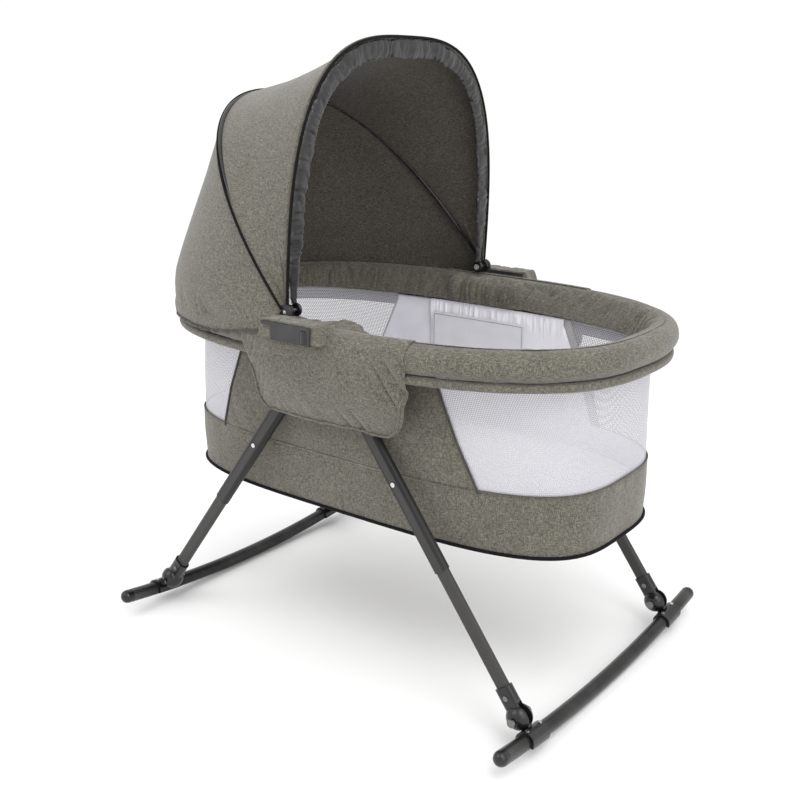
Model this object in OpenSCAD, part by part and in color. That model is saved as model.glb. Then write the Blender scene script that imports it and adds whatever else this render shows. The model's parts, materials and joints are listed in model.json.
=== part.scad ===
// Rocking bassinet on a folding stand.
// Frame: +X towards the foot end, -X towards the head end and canopy, +Z up, floor at z = 0.

/* [Basket] */
// Half length of the rim, measured on its centre line
rim_a = 440; // [400:10:480]
// Half width of the rim, measured on its centre line
rim_b = 285; // [280:1:290]
// Height of the rim's centre line
rim_z = 591; // [585:1:595]
// Radius of the padded roll round the rim
roll_r = 24; // [20:1:25]
// Radius of the rim tube
rim_tube_r = 10; // [8:0.5:11]
// Height of the basket's bottom edge
base_z = 276; // [260:2:300]
// Half length of the bottom edge
base_a = 423; // [400:1:430]
// Half width of the bottom edge
base_b = 205; // [190:1:215]
// Height of the seam between the lower band and the mesh windows
band_z = 380; // [350:5:420]
// Half width of a grey side panel along its lower edge
panel_low = 275; // [240:5:290]
// Half width of a grey side panel along its upper edge
panel_high = 200; // [150:5:230]
// Thickness of the mattress
mattress_t = 58; // [40:2:70]

/* [Stand] */
// Distance of a leg's middle plane from the basket's middle plane
leg_y = 246; // [244:0.5:248]
// Half distance between the two leg pivots of one hub
pivot_x = 30; // [28:1:34]
// Height of the leg pivots
pivot_z = 540; // [536:1:544]
// Distance of a knuckle from the basket's middle, along X
knuckle_x = 393; // [380:1:400]
// Height of a knuckle's centre
knuckle_z = 50.6; // [48:0.2:54]
// Radius of a knuckle's ball
ball_r = 21; // [20:0.5:22]
// Distance of a rocker tube's plane from the basket's middle, along X
rocker_x = 418; // [416:0.5:420]
// Radius of a rocker's curve, to the tube's centre line
rocker_bend_r = 2360; // [2000:20:3000]
// Radius of a rocker tube
rocker_tube_r = 12.5; // [11:0.5:12.5]
// Half span of a rocker tube, between its end caps
rocker_half = 330; // [310:5:340]

/* [Canopy] */
// Place of the canopy's pivot along X
canopy_x = -38; // [-50:1:-30]
// Height of the canopy's pivot
canopy_z = 632; // [631:0.5:640]
// Half width of the middle bow
mid_w = 283; // [282:0.5:283]
// Height of the middle bow above the pivot
mid_h = 437; // [430:1:440]
// Half width of the front bow
front_w = 264; // [260:0.5:265]
// Height of the front bow above the pivot
front_h = 400; // [390:1:402]
// Angle of the middle bow behind the vertical
mid_tilt = 41; // [38:1:44]
// Angle of the front bow ahead of the vertical
front_tilt = 3; // [0:1:6]
// Radius of the bows
bow_r = 3.8; // [3:0.2:3.8]

/* [Hidden] */
$fn = 48;

// Colours
heather = [0.42, 0.40, 0.36];
heather_dark = [0.30, 0.29, 0.26];
mesh_white = [0.93, 0.93, 0.96, 0.6];
sheet_white = [0.95, 0.95, 0.97];
tube_grey = [0.24, 0.24, 0.24];
gloss_black = [0.06, 0.06, 0.06];
clip_grey = [0.25, 0.25, 0.26];
steel = [0.75, 0.75, 0.76];
board_grey = [0.55, 0.55, 0.56];

gap = 0.3;                   // clearance between neighbouring pieces
running = 0.05;              // radial clearance of a pin that turns or slides
near = -1;
far = 1;
head = -1;
foot = 1;

// Basket
rim_n = 2.6;                 // roundness of the rim's superellipse
base_n = 3.6;
wall_top_n = 2.8;
skin_t = 2;                  // thickness of a fabric wall
sleeve_slit = 3;             // half angle of the slit along the foam sleeve's underside
sleeve_end_gap = 1.3;        // room at the sleeve's ends, whose faces lean a little
hem = 12;                    // how far the band is turned in under the base
wall_top_z = 556;
wall_half_w = 228;           // widest half width of the wall
piping_r = 3;
board_t = 6;
floor_t = 2;

// Hub
hub_half = 62;               // half length of a hub housing
hub_low_z = 514;
hub_in_y = 231;              // faces of the hub's plates
hub_out_y = 262;
slot_half = 8.6;             // half width of the slot that the leg ends turn in
slot_top_z = 561;
hub_button_r = 9;
hub_button_z = 545;
leg_end_r = 14;
pivot_r = 4;

// Legs: places along a leg are distances from its pivot
leg_dx = knuckle_x - pivot_x;
leg_dz = pivot_z - knuckle_z;
leg_len = sqrt(leg_dx * leg_dx + leg_dz * leg_dz);
leg_lean = atan(leg_dx / leg_dz);   // angle from the vertical
upper_w = 28;
upper_t = 16;
upper_wall = 1.5;
upper_end = 359;
lower_w = 24.4;
lower_t = 12.4;
lower_wall = 1.2;
lower_start = 185;
lower_end = 590;
snap_s = 205;
snap_r = 4;
rivet_s = 575;
rivet_r = 2.5;
socket_start = 558;
socket_w = 31;
socket_t = 19;
bolt_r = 4;
tongue_t = 10;
tongue_r = 11;

// Rockers
rocker_low_z = rocker_tube_r;
saddle_half = 25;
saddle_r = 16.5;
saddle_lip = 6;              // how far a saddle reaches below the tube's middle
cap_len = 20;

// Canopy
mid_n = 2.4;                 // roundness of the bows
front_n = 2.75;
disc_r = 11;
disc_t = 5;
rivet_canopy_r = 3;
shell_low = 26;              // the canopy's skins start this far above the pivot
rear_w = 275.8;              // the rear skin passes between the two bows
rear_h = 411.8;
rear_n = 2.6;
rear_low = -91;              // turn of the rear skin's lower edge

// A superellipse in plan: point and outward normal at angle t
function sgn(v) = v < 0 ? -1 : 1;
function oval(t, a, b, n) = [a * sgn(cos(t)) * pow(abs(cos(t)), 2 / n),
                             b * sgn(sin(t)) * pow(abs(sin(t)), 2 / n)];
function oval_normal(t, a, b, n) =
    let (v = [sgn(cos(t)) * pow(abs(cos(t)), 2 - 2 / n) / a,
              sgn(sin(t)) * pow(abs(sin(t)), 2 - 2 / n) / b])
    v / norm(v);
function oval_angle(x, a, n) = acos(pow(abs(x) / a, n / 2));
function oval_outline(a, b, n, count = 120) = [for (i = [0 : count - 1]) oval(i * 360 / count, a, b, n)];

// One ring of a round tube that follows a superellipse at height z
function tube_ring(t, a, b, n, z, r, sides) =
    let (p = oval(t, a, b, n), d = oval_normal(t, a, b, n))
    [for (k = [0 : sides - 1]) let (u = 360 * k / sides)
        [p.x + d.x * r * cos(u), p.y + d.y * r * cos(u), z + r * sin(u)]];

// A solid through a row of rings. Each ring is a closed outline with an even number of points.
module ring_solid(rings, loop = false) {
    rows = len(rings);
    k = len(rings[0]);
    last = loop ? rows - 1 : rows - 2;
    sides = [for (i = [0 : last], j = [0 : k - 1])
        let (a = i * k + j, b = i * k + (j + 1) % k,
             c = ((i + 1) % rows) * k + (j + 1) % k, d = ((i + 1) % rows) * k + j)
        each [[a, c, b], [a, d, c]]];
    end = (rows - 1) * k;
    caps = loop ? [] : [for (j = [0 : k / 2 - 2])
        each [[j, j + 1, k - 2 - j], [j, k - 2 - j, k - 1 - j],
              [end + j, end + k - 2 - j, end + j + 1], [end + j, end + k - 1 - j, end + k - 2 - j]]];
    clean = [for (f = concat(sides, caps)) if (f[0] != f[1] && f[1] != f[2] && f[0] != f[2]) f];
    polyhedron(points = [for (r = rings) each r], faces = clean, convexity = 8);
}

// Point of the rim's cross-section at plan angle t, turned u from straight down
function rim_section(t, r, u) =
    let (p = oval(t, rim_a, rim_b, rim_n), d = oval_normal(t, rim_a, rim_b, rim_n))
    [p.x - d.x * r * sin(u), p.y - d.y * r * sin(u), rim_z - r * cos(u)];

module rim_sweep(r, t0, t1, count, sides) {
    ring_solid([for (i = [0 : count])
        tube_ring(t0 + (t1 - t0) * i / count, rim_a, rim_b, rim_n, rim_z, r, sides)]);
}

// The wall of the basket: half length, half width and roundness at each height
wall_zs = [band_z + gap, 420, 480, wall_top_z];
function mix(u, low, high) = low + (high - low) * max(0, min(1, u));
function wall_a(z) = mix((z - base_z) / (wall_top_z - base_z), base_a, base_a + 4);
function wall_b(z) = mix((z - base_z) / 180, base_b, wall_half_w);
function wall_n(z) = mix((z - base_z) / (wall_top_z - base_z), base_n, wall_top_n);
function wall_point(t, z, inward) =
    let (p = oval(t, wall_a(z) - inward, wall_b(z) - inward, wall_n(z))) [p.x, p.y, z];
function wall_ring(ts, zs) = concat(
    [for (i = [0 : len(zs) - 1]) wall_point(ts[i], zs[i], 0)],
    [for (i = [len(zs) - 1 : -1 : 0]) wall_point(ts[i], zs[i], skin_t)]);
function panel_half(z) = mix((z - band_z) / (wall_top_z - band_z), panel_low, panel_high);
function panel_angle(z, beyond) = oval_angle(panel_half(z) + beyond, wall_a(z), wall_n(z));

// A patch of wall whose two edges follow the angles lo(z) and hi(z)
module wall_patch(los, his, count) {
    ring_solid([for (i = [0 : count])
        wall_ring([for (k = [0 : len(wall_zs) - 1]) los[k] + (his[k] - los[k]) * i / count], wall_zs)]);
}

module side_panel(side) {
    color(heather)
    mirror([0, side == near ? 1 : 0, 0])
        wall_patch([for (z = wall_zs) panel_angle(z, 0)],
                   [for (z = wall_zs) 180 - panel_angle(z, 0)], 24);
}

module mesh_window(end) {
    color(mesh_white)
    mirror([end == head ? 1 : 0, 0, 0])
        wall_patch([for (z = wall_zs) -panel_angle(z, 1)],
                   [for (z = wall_zs) panel_angle(z, 1)], 40);
}

// Half of the lower band, turned in under the base board and sewn to the other half at the sides
module fabric_band(end) {
    zs = [base_z, 300, 340, band_z];
    color(heather)
    mirror([end == head ? 1 : 0, 0, 0])
    ring_solid([for (i = [0 : 48]) let (t = -90 + i * 3.75) concat(
        [wall_point(t, base_z, hem)],
        [for (z = zs) wall_point(t, z, 0)],
        [for (z = [band_z, 340, 300, base_z + floor_t]) wall_point(t, z, skin_t)],
        [wall_point(t, base_z + floor_t, hem)])]);
}

module base_cover() {
    color(heather_dark)
    translate([0, 0, base_z])
        linear_extrude(floor_t) polygon(oval_outline(base_a - hem - 0.6, base_b - hem - 0.6, base_n, 96));
}

module base_board() {
    color(board_grey)
    translate([0, 0, base_z + floor_t + gap])
        linear_extrude(board_t) polygon(oval_outline(base_a - 15, base_b - 15, base_n, 96));
}

module base_hoop() {
    color(steel)
    ring_solid([for (i = [0 : 95])
        tube_ring(i * 3.75, base_a - 8, base_b - 8, base_n, base_z + floor_t + gap + 3.5, 3.5, 8)], loop = true);
}

module base_piping() {
    color(gloss_black)
    ring_solid([for (i = [0 : 95])
        tube_ring(i * 3.75, base_a + piping_r + 0.4, base_b + piping_r + 0.4, base_n,
                  base_z + 1, piping_r, 8)], loop = true);
}

module mattress() {
    low = base_z + floor_t + board_t + 2 * gap;
    color(sheet_white) {
        translate([0, 0, low + 6])
            linear_extrude(mattress_t - 12) polygon(oval_outline(base_a - 10, base_b - 10, base_n, 96));
        translate([0, 0, low])
            linear_extrude(mattress_t) polygon(oval_outline(base_a - 16, base_b - 16, base_n, 96));
    }
}

module rim_tube(end) {
    color(steel)
    mirror([end == head ? 1 : 0, 0, 0])
        rim_sweep(rim_tube_r, -88.9, 88.9, 56, 12);
}

module rim_padding(end) {
    stop = oval_angle(hub_half + sleeve_end_gap, rim_a, rim_n);
    color(heather)
    mirror([end == head ? 1 : 0, 0, 0])
        ring_solid([for (i = [0 : 56]) let (t = -stop + 2 * stop * i / 56)
            concat([for (k = [0 : 16]) rim_section(t, roll_r, sleeve_slit + k * (360 - 2 * sleeve_slit) / 16)],
                   [for (k = [16 : -1 : 0])
                       rim_section(t, rim_tube_r + 0.8, sleeve_slit + k * (360 - 2 * sleeve_slit) / 16)])]);
}

// Lays what was drawn in the XZ plane, looking along +Y, with its middle on y = 0
module standing(thick) {
    translate([0, thick / 2, 0]) rotate([90, 0, 0]) linear_extrude(thick) children();
}

// Pin along Y, from y0 to y1
module y_pin(r, y0, y1, x = 0, z = 0) {
    translate([x, y1, z]) rotate([90, 0, 0]) cylinder(r = r, h = y1 - y0);
}

module hub_housing(side) {
    mid = (hub_in_y + hub_out_y) / 2;
    color(gloss_black)
    mirror([0, side == near ? 1 : 0, 0])
    difference() {
        union() {
            translate([-hub_half, rim_b, rim_z]) rotate([0, 90, 0]) cylinder(r = roll_r - 0.5, h = 2 * hub_half);
            translate([-hub_half, hub_in_y, slot_top_z])
                cube([2 * hub_half, rim_b - hub_in_y, rim_z + 12 - slot_top_z]);
            translate([0, mid, 0]) standing(hub_out_y - hub_in_y) {
                translate([-hub_half, hub_low_z + 20]) square([2 * hub_half, slot_top_z + 6 - hub_low_z - 20]);
                translate([-hub_half + 20, hub_low_z]) square([2 * hub_half - 40, 40]);
                for (x = [-1, 1]) translate([x * (hub_half - 20), hub_low_z + 20]) circle(r = 20);
            }
        }
        translate([-hub_half - 1, rim_b, rim_z]) rotate([0, 90, 0])
            cylinder(r = rim_tube_r + 0.8, h = 2 * hub_half + 2);
        translate([-hub_half - 1, leg_y - slot_half, hub_low_z - 1])
            cube([2 * hub_half + 2, 2 * slot_half, slot_top_z - hub_low_z + 1]);
        for (x = [-1, 1]) y_pin(pivot_r, hub_in_y - 1, hub_out_y + 1, x * pivot_x, pivot_z);
        y_pin(hub_button_r + running, leg_y, hub_out_y + 1, 0, hub_button_z);
    }
}

// Lock release: a cap on a round plunger
module hub_button(side) {
    color(clip_grey)
    mirror([0, side == near ? 1 : 0, 0])
        y_pin(hub_button_r, leg_y - 1, hub_out_y + 7, 0, hub_button_z);
}

module leg_pivot_bolts(end) {
    color(steel)
    for (side = [near, far]) mirror([0, side == near ? 1 : 0, 0]) {
        y_pin(pivot_r, hub_in_y, hub_out_y + 0.5, end * pivot_x, pivot_z);
        y_pin(pivot_r + 4, hub_out_y, hub_out_y + 3, end * pivot_x, pivot_z);
    }
}

// Fabric pouch over a hub, with round lower corners
flap_x0 = -118;
flap_x1 = 198;
flap_t = 4;
flap_low_z = 458;
flap_turn = 16;              // how far below level the pouch leaves the rim
module flap(side) {
    inner_r = roll_r + 0.6;
    corner = 34;
    path = [for (u = [96 : -14 : -flap_turn]) [cos(u), sin(u)]];
    low_y = 266;
    section = concat(
        [for (d = path) [rim_b + inner_r * d.x, rim_z + inner_r * d.y]],
        [[low_y, flap_low_z], [low_y + flap_t, flap_low_z]],
        [for (i = [len(path) - 1 : -1 : 0]) [rim_b, rim_z] + (inner_r + flap_t) * path[i]]);
    color(heather)
    mirror([0, side == near ? 1 : 0, 0])
    intersection() {
        translate([flap_x0, 0, 0]) rotate([90, 0, 90]) linear_extrude(flap_x1 - flap_x0) polygon(section);
        translate([0, 300, 0]) standing(200) {
            translate([flap_x0 - 1, flap_low_z + corner]) square([flap_x1 - flap_x0 + 2, 200]);
            translate([flap_x0 + corner, flap_low_z - 1]) square([flap_x1 - flap_x0 - 2 * corner, 60]);
            for (x = [flap_x0 + corner, flap_x1 - corner])
                translate([x, flap_low_z + corner]) circle(r = corner);
        }
    }
}

// Clip that holds the canopy's pivot over the rim
lug_y0 = mid_w + bow_r + 0.5;
lug_y1 = lug_y0 + 5;
jaw_y0 = 318;
jaw_y1 = 334;
jaw_x0 = -30;
jaw_x1 = 50;
plate_z = rim_z + roll_r + flap_t + 1.2;
plate_t = 5;
tab_x0 = 32;
tab_x1 = 46;
module canopy_bracket(side) {
    color(clip_grey)
    mirror([0, side == near ? 1 : 0, 0])
    difference() {
        union() {
            y_pin(12, lug_y0, lug_y1, canopy_x, canopy_z);
            translate([canopy_x - 12, lug_y0, plate_z]) cube([24, lug_y1 - lug_y0, canopy_z - plate_z]);
            translate([canopy_x - 12, lug_y0, plate_z]) cube([jaw_x1 - canopy_x + 12, jaw_y1 - lug_y0, plate_t]);
            translate([jaw_x0, jaw_y0 + 1, rim_z + 6]) cube([jaw_x1 - jaw_x0, jaw_y1 - jaw_y0 - 1, plate_z - rim_z - 6 + 1]);
        }
        y_pin(rivet_canopy_r, lug_y0 - 1, lug_y1 + 1, canopy_x, canopy_z);
        translate([tab_x0 - gap, jaw_y1 - 9, rim_z + 8]) cube([tab_x1 - tab_x0 + 2 * gap, 10, 21]);
    }
}

// Release tab of the clip, a curved plate that is pressed in
module clip_tab(side) {
    color(gloss_black)
    mirror([0, side == near ? 1 : 0, 0])
    translate([tab_x0, jaw_y1 - 5, rim_z + 8.5]) intersection() {
        cube([tab_x1 - tab_x0, 7, 20]);
        translate([(tab_x1 - tab_x0) / 2, -9, 0]) cylinder(r = 15.5, h = 20);
    }
}

module canopy_rivets() {
    color(steel)
    for (side = [near, far]) mirror([0, side == near ? 1 : 0, 0]) {
        y_pin(rivet_canopy_r, front_w - disc_t / 2 - 1, lug_y1, canopy_x, canopy_z);
        y_pin(5.5, front_w - disc_t / 2 - 3, front_w - disc_t / 2 - 0.5, canopy_x, canopy_z);
    }
}

// Canopy: arches of half width w and height h, swung by tilt about the pivot (towards the foot is +)
function arch(t, w, h, n) = let (p = oval(t, w, h, n)) [0, p.x, p.y];
function arch_normal(t, w, h, n) = let (d = oval_normal(t, w, h, n)) [0, d.x, d.y];
function swing(p, tilt) = [p.x * cos(tilt) + p.z * sin(tilt) + canopy_x, p.y,
                           p.z * cos(tilt) - p.x * sin(tilt) + canopy_z];
module bow(w, h, n, tilt) {
    low = asin(pow(8 / h, n / 2));
    ring_solid([for (i = [0 : 56])
        let (t = low + (180 - 2 * low) * i / 56, p = arch(t, w, h, n), d = arch_normal(t, w, h, n))
        [for (k = [0 : 9]) let (u = -36 * k)
            swing([bow_r * sin(u), p.y + d.y * bow_r * cos(u), p.z + d.z * bow_r * cos(u)], tilt)]]);
    for (s = [-1, 1]) difference() {
        y_pin(disc_r, s * w - disc_t / 2, s * w + disc_t / 2, canopy_x, canopy_z);
        y_pin(rivet_canopy_r + running, s * w - disc_t, s * w + disc_t, canopy_x, canopy_z);
    }
}

// A skin between two arches [half width, height, roundness, tilt], measured on its outer face
module canopy_skin(from, to, count) {
    points = 36;
    function edge(inward, a) = let (top = a[1] - inward, low = asin(pow(shell_low / top, a[2] / 2)))
        [for (i = [0 : points])
            swing(arch(low + (180 - 2 * low) * i / points, a[0] - inward, top, a[2]), a[3])];
    ring_solid([for (k = [0 : count])
        let (a = from + (to - from) * k / count, outer = edge(0, a), inner = edge(skin_t, a))
        concat(outer, [for (i = [points : -1 : 0]) inner[i]])]);
}

module mid_bow() {
    color(gloss_black) bow(mid_w, mid_h, mid_n, -mid_tilt);
}

module front_bow() {
    color(gloss_black) bow(front_w, front_h, front_n, front_tilt);
}

module canopy_front_shell() {
    out = bow_r + 0.5 + skin_t;
    color(heather)
        canopy_skin([mid_w + out, mid_h + out, mid_n, -mid_tilt],
                    [front_w + out + 8, front_h + out + 8, front_n, front_tilt], 10);
}

module canopy_rear_shell() {
    color(heather_dark)
        canopy_skin([rear_w, rear_h, rear_n, -mid_tilt - 2], [rear_w, rear_h, rear_n, rear_low], 12);
}

// Legs. A leg is drawn along -Z from its pivot, then leaned and put in its place.
module leg_place(end, side) {
    mirror([end == head ? 1 : 0, 0, 0]) mirror([0, side == near ? 1 : 0, 0])
        translate([pivot_x, leg_y, pivot_z]) rotate([0, -leg_lean, 0]) children();
}

module flat_oval(w, t) {
    square([w - t, t], center = true);
    for (s = [-1, 1]) translate([s * (w - t) / 2, 0]) circle(d = t);
}

module along_leg(s0, s1) {
    translate([0, 0, -s1]) linear_extrude(s1 - s0) children();
}

module upper_leg(end, side) {
    color(tube_grey)
    leg_place(end, side) difference() {
        union() {
            y_pin(leg_end_r, -upper_t / 2, upper_t / 2);
            translate([-leg_end_r, -upper_t / 2, -20]) cube([2 * leg_end_r, upper_t, 20]);
            along_leg(18, upper_end) flat_oval(upper_w, upper_t);
        }
        along_leg(30, upper_end + 1) flat_oval(upper_w - 2 * upper_wall, upper_t - 2 * upper_wall);
        y_pin(pivot_r + running, -upper_t, upper_t);
        y_pin(snap_r + running, 0, upper_t, 0, -snap_s);
    }
}

module lower_leg(end, side) {
    color(tube_grey)
    leg_place(end, side) difference() {
        along_leg(lower_start, lower_end) flat_oval(lower_w, lower_t);
        along_leg(lower_start - 1, lower_end + 1)
            flat_oval(lower_w - 2 * lower_wall, lower_t - 2 * lower_wall);
        y_pin(snap_r + running, 0, lower_t, 0, -snap_s);
        y_pin(rivet_r, -lower_t, lower_t, 0, -rivet_s);
    }
}

// Snap button, with the collar that keeps it inside the lower tube
module snap_button(end, side) {
    color(steel)
    leg_place(end, side) {
        y_pin(snap_r, 3, upper_t / 2 + 2.5, 0, -snap_s);
        y_pin(snap_r + 1.5, 2, 4.2, 0, -snap_s);
    }
}

// Where a rocker tube passes under a knuckle
function rocker_z(y) = rocker_low_z + rocker_bend_r - sqrt(rocker_bend_r * rocker_bend_r - y * y);
saddle_z = rocker_z(leg_y);
saddle_d = norm([rocker_x - knuckle_x, knuckle_z - saddle_z]);
tongue_turn = atan2(rocker_x - knuckle_x, knuckle_z - saddle_z);   // from straight down to the rocker

module knuckle_place(end, side) {
    mirror([end == head ? 1 : 0, 0, 0]) mirror([0, side == near ? 1 : 0, 0])
        translate([knuckle_x, leg_y, knuckle_z]) children();
}

module knuckle(end, side) {
    reach = 40;
    color(gloss_black)
    difference() {
        union() {
            knuckle_place(end, side) sphere(r = ball_r);
            leg_place(end, side) along_leg(socket_start, leg_len - 4) flat_oval(socket_w, socket_t);
        }
        leg_place(end, side) along_leg(socket_start - 1, lower_end + 1)
            flat_oval(lower_w + 0.4, lower_t + 0.4);
        leg_place(end, side) y_pin(rivet_r, -socket_t, socket_t, 0, -rivet_s);
        knuckle_place(end, side) {
            y_pin(bolt_r, -ball_r - 5, ball_r + 5);
            y_pin(tongue_r + 0.4, -tongue_t / 2 - gap, tongue_t / 2 + gap);
            standing(tongue_t + 2 * gap)
                polygon(concat([[0, 0]], [for (u = [-95 : 19 : 95]) reach * [cos(u), sin(u)]]));
        }
    }
}

// Screws in the knuckles and rivets through their sockets
module leg_fasteners(end) {
    color(steel)
    for (side = [near, far]) {
        knuckle_place(end, side) {
            y_pin(bolt_r, -ball_r - 1, ball_r + 2);
            y_pin(bolt_r + 3, ball_r + 2, ball_r + 5);
            y_pin(bolt_r + 3, -ball_r - 4, -ball_r - 1);
        }
        leg_place(end, side) {
            y_pin(rivet_r, -socket_t / 2, socket_t / 2, 0, -rivet_s);
            y_pin(rivet_r + 2, socket_t / 2, socket_t / 2 + 1.2, 0, -rivet_s);
            y_pin(rivet_r + 2, -socket_t / 2 - 1.2, -socket_t / 2, 0, -rivet_s);
        }
    }
}

// Rockers. A point of the curve at angle u from its lowest point.
cap_turn = asin(rocker_half / rocker_bend_r);
module rocker_arc(r, turn) {
    translate([0, 0, rocker_low_z + rocker_bend_r]) rotate([0, 90, 0])
        rotate([0, 0, -turn]) rotate_extrude(angle = 2 * turn, $fn = 720)
            translate([rocker_bend_r, 0]) circle(r = r, $fn = 32);
}

module rocker_tube(end) {
    color(tube_grey)
    translate([end * rocker_x, 0, 0]) rocker_arc(rocker_tube_r, cap_turn);
}

// Puts a piece at arc position y on a rocker, tilted with the tube
module on_rocker(end, y) {
    mirror([end == head ? 1 : 0, 0, 0])
        translate([rocker_x, y, rocker_z(y)]) rotate([asin(y / rocker_bend_r), 0, 0]) children();
}

// Saddle over the rocker tube, with a round seat for the ball and a tongue that turns inside it
module saddles(end) {
    color(gloss_black)
    for (s = [-1, 1])
        difference() {
            union() {
                on_rocker(end, s * leg_y) y_pin(saddle_r, -saddle_half, saddle_half);
                knuckle_place(end, s) standing(tongue_t) {
                    circle(r = tongue_r);
                    rotate(tongue_turn) translate([-8, -saddle_d]) square([16, saddle_d]);
                }
            }
            on_rocker(end, s * leg_y) {
                y_pin(rocker_tube_r + gap, -saddle_half - 1, saddle_half + 1);
                translate([-50, -50, -50 - saddle_lip]) cube([100, 100, 50]);
            }
            knuckle_place(end, s) {
                difference() {
                    sphere(r = ball_r + 0.5);
                    translate([-50, -tongue_t / 2, -50]) cube([100, tongue_t, 100]);
                }
                y_pin(bolt_r + running, -tongue_t, tongue_t);
            }
        }
}

module rocker_caps(end) {
    color(gloss_black)
    for (s = [-1, 1]) mirror([0, s == near ? 1 : 0, 0])
        on_rocker(end, rocker_half) {
            y_pin(rocker_tube_r, 0.2, cap_len - rocker_tube_r);
            translate([0, cap_len - rocker_tube_r, 0]) intersection() {
                sphere(r = rocker_tube_r);
                translate([-rocker_tube_r, -0.1, -rocker_tube_r]) cube(2 * rocker_tube_r);
            }
        }
}

module saddle_screws(end) {
    color(steel)
    for (s = [-1, 1], d = [-1, 1])
        on_rocker(end, s * leg_y) translate([0, d * (saddle_half - 6), saddle_r - 0.3]) cylinder(r = 3.2, h = 1.8);
}

rim_tube(head);  // rim_tube_head
rim_tube(foot);  // rim_tube_foot
rim_padding(head);  // rim_padding_head
rim_padding(foot);  // rim_padding_foot
hub_housing(near);  // hub_housing_near
hub_housing(far);  // hub_housing_far
base_board();
base_hoop();
base_piping();
mattress();
fabric_band(head);  // fabric_band_head
fabric_band(foot);  // fabric_band_foot
base_cover();
side_panel(near);  // side_panel_near
side_panel(far);  // side_panel_far
mesh_window(head);  // mesh_window_head
mesh_window(foot);  // mesh_window_foot
flap(near);  // flap_near
flap(far);  // flap_far
canopy_bracket(near);  // canopy_bracket_near
canopy_bracket(far);  // canopy_bracket_far
canopy_rivets();
canopy_rear_shell();
hub_button(near);  // hub_button_near
hub_button(far);  // hub_button_far
clip_tab(near);  // clip_tab_near
clip_tab(far);  // clip_tab_far
mid_bow();
canopy_front_shell();
front_bow();
upper_leg(head, near);  // upper_leg_head_near
upper_leg(head, far);  // upper_leg_head_far
upper_leg(foot, near);  // upper_leg_foot_near
upper_leg(foot, far);  // upper_leg_foot_far
lower_leg(head, near);  // lower_leg_head_near
lower_leg(head, far);  // lower_leg_head_far
lower_leg(foot, near);  // lower_leg_foot_near
lower_leg(foot, far);  // lower_leg_foot_far
knuckle(head, near);  // knuckle_head_near
knuckle(head, far);  // knuckle_head_far
knuckle(foot, near);  // knuckle_foot_near
knuckle(foot, far);  // knuckle_foot_far
leg_pivot_bolts(head);  // leg_pivot_bolts_head
leg_pivot_bolts(foot);  // leg_pivot_bolts_foot
leg_fasteners(head);  // leg_fasteners_head
leg_fasteners(foot);  // leg_fasteners_foot
snap_button(head, near);  // snap_button_head_near
snap_button(head, far);  // snap_button_head_far
snap_button(foot, near);  // snap_button_foot_near
snap_button(foot, far);  // snap_button_foot_far
rocker_tube(head);  // rocker_tube_head
rocker_tube(foot);  // rocker_tube_foot
saddles(head);  // saddles_head
saddles(foot);  // saddles_foot
rocker_caps(head);  // rocker_caps_head
rocker_caps(foot);  // rocker_caps_foot
saddle_screws(head);  // saddle_screws_head
saddle_screws(foot);  // saddle_screws_foot
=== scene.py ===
"""Looks of the bassinet on stand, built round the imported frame. Metres, +X to the foot, +Y to the far side."""
import json
import math

import bmesh
import bpy
import numpy as np
from mathutils import Matrix, Vector


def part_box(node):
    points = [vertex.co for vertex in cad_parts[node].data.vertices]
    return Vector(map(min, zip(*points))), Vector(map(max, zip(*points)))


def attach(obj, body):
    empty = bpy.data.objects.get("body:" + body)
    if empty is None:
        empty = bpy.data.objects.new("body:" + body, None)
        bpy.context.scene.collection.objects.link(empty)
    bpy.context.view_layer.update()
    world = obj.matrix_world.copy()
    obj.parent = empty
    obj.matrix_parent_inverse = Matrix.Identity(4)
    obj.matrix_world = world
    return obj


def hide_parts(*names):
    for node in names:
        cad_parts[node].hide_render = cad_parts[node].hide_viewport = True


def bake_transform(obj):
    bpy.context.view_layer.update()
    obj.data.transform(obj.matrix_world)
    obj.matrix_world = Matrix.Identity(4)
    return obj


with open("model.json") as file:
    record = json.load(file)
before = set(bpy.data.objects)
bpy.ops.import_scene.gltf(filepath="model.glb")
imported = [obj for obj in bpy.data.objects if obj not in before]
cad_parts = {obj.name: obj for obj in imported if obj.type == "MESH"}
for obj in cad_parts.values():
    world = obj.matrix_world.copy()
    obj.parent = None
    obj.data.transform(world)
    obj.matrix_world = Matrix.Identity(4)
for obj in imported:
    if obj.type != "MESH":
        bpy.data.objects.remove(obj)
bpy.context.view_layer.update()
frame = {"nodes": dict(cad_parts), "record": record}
MM = 0.001
JOINTS = {j["name"]: j for j in frame["record"]["behaviour"]["joints"]}

# ------------------------ sizes, worked out from the frame
NEAR, FAR = -1, 1
HEAD, FOOT = -1, 1
SIDES = {"near": NEAR, "far": FAR}
ENDS = {"head": HEAD, "foot": FOOT}

rim_low, rim_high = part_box("rim_padding_foot")
ROLL = (rim_high.z - rim_low.z) / 2
RIM_Z = (rim_high.z + rim_low.z) / 2
RIM_A = rim_high.x - ROLL
RIM_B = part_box("rim_tube_foot")[1].y - 10 * MM
RIM_N = 2.6

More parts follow.
